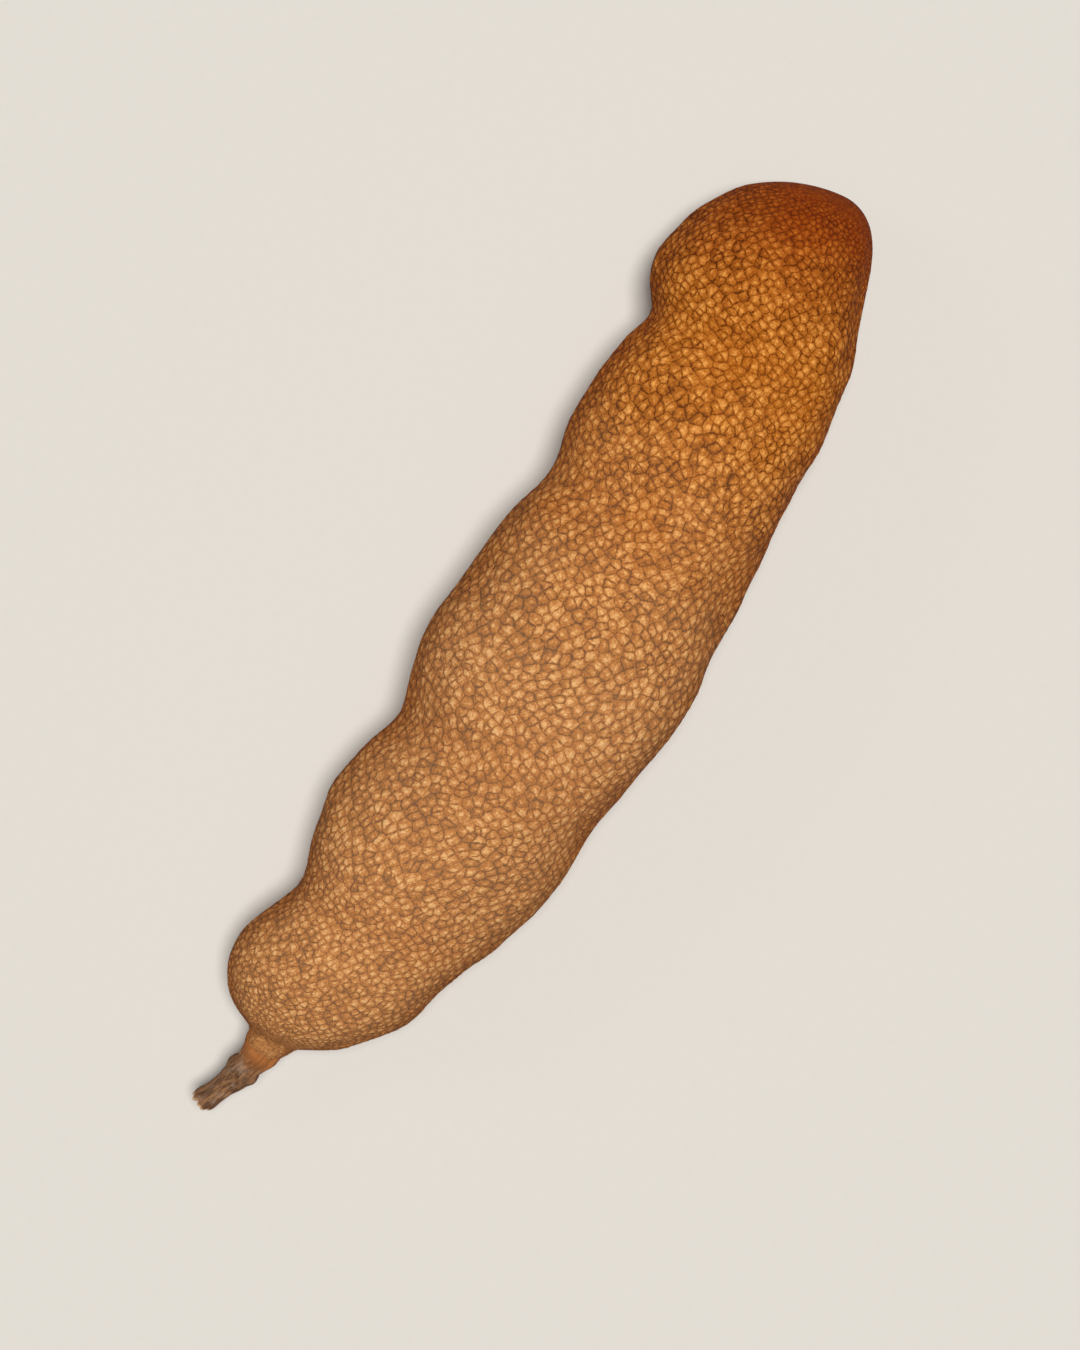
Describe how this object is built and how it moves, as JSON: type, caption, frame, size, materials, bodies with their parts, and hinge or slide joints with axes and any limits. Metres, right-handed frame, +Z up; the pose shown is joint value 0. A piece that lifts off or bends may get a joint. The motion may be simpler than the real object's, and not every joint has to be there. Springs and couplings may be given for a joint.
{
  "type": "tamarind pod",
  "caption": "Whole ripe tamarind pod with rounded swellings, shallow waists, net-like brown skin and a short cut stalk, lying on its broad side.",
  "frame": {"origin": "on the surface that the pod rests on, under the middle of its box", "axes": "+X along the pod from the stalk to the free tip, +Y into the hollow of its curve, +Z up, through its thinner way"},
  "size_m": [0.1165, 0.0316, 0.0227],
  "materials": {
    "pod_skin": "dry, matt, scurfy shell of small pale cells between thin dark lines, deeper orange brown at the tip",
    "stalk_wood": "dry, rough, fibrous wood with a paler cut end"
  },
  "bodies": {
    "root": {"pod": "pod_skin", "stalk": "stalk_wood"}
  },
  "joints": []
}
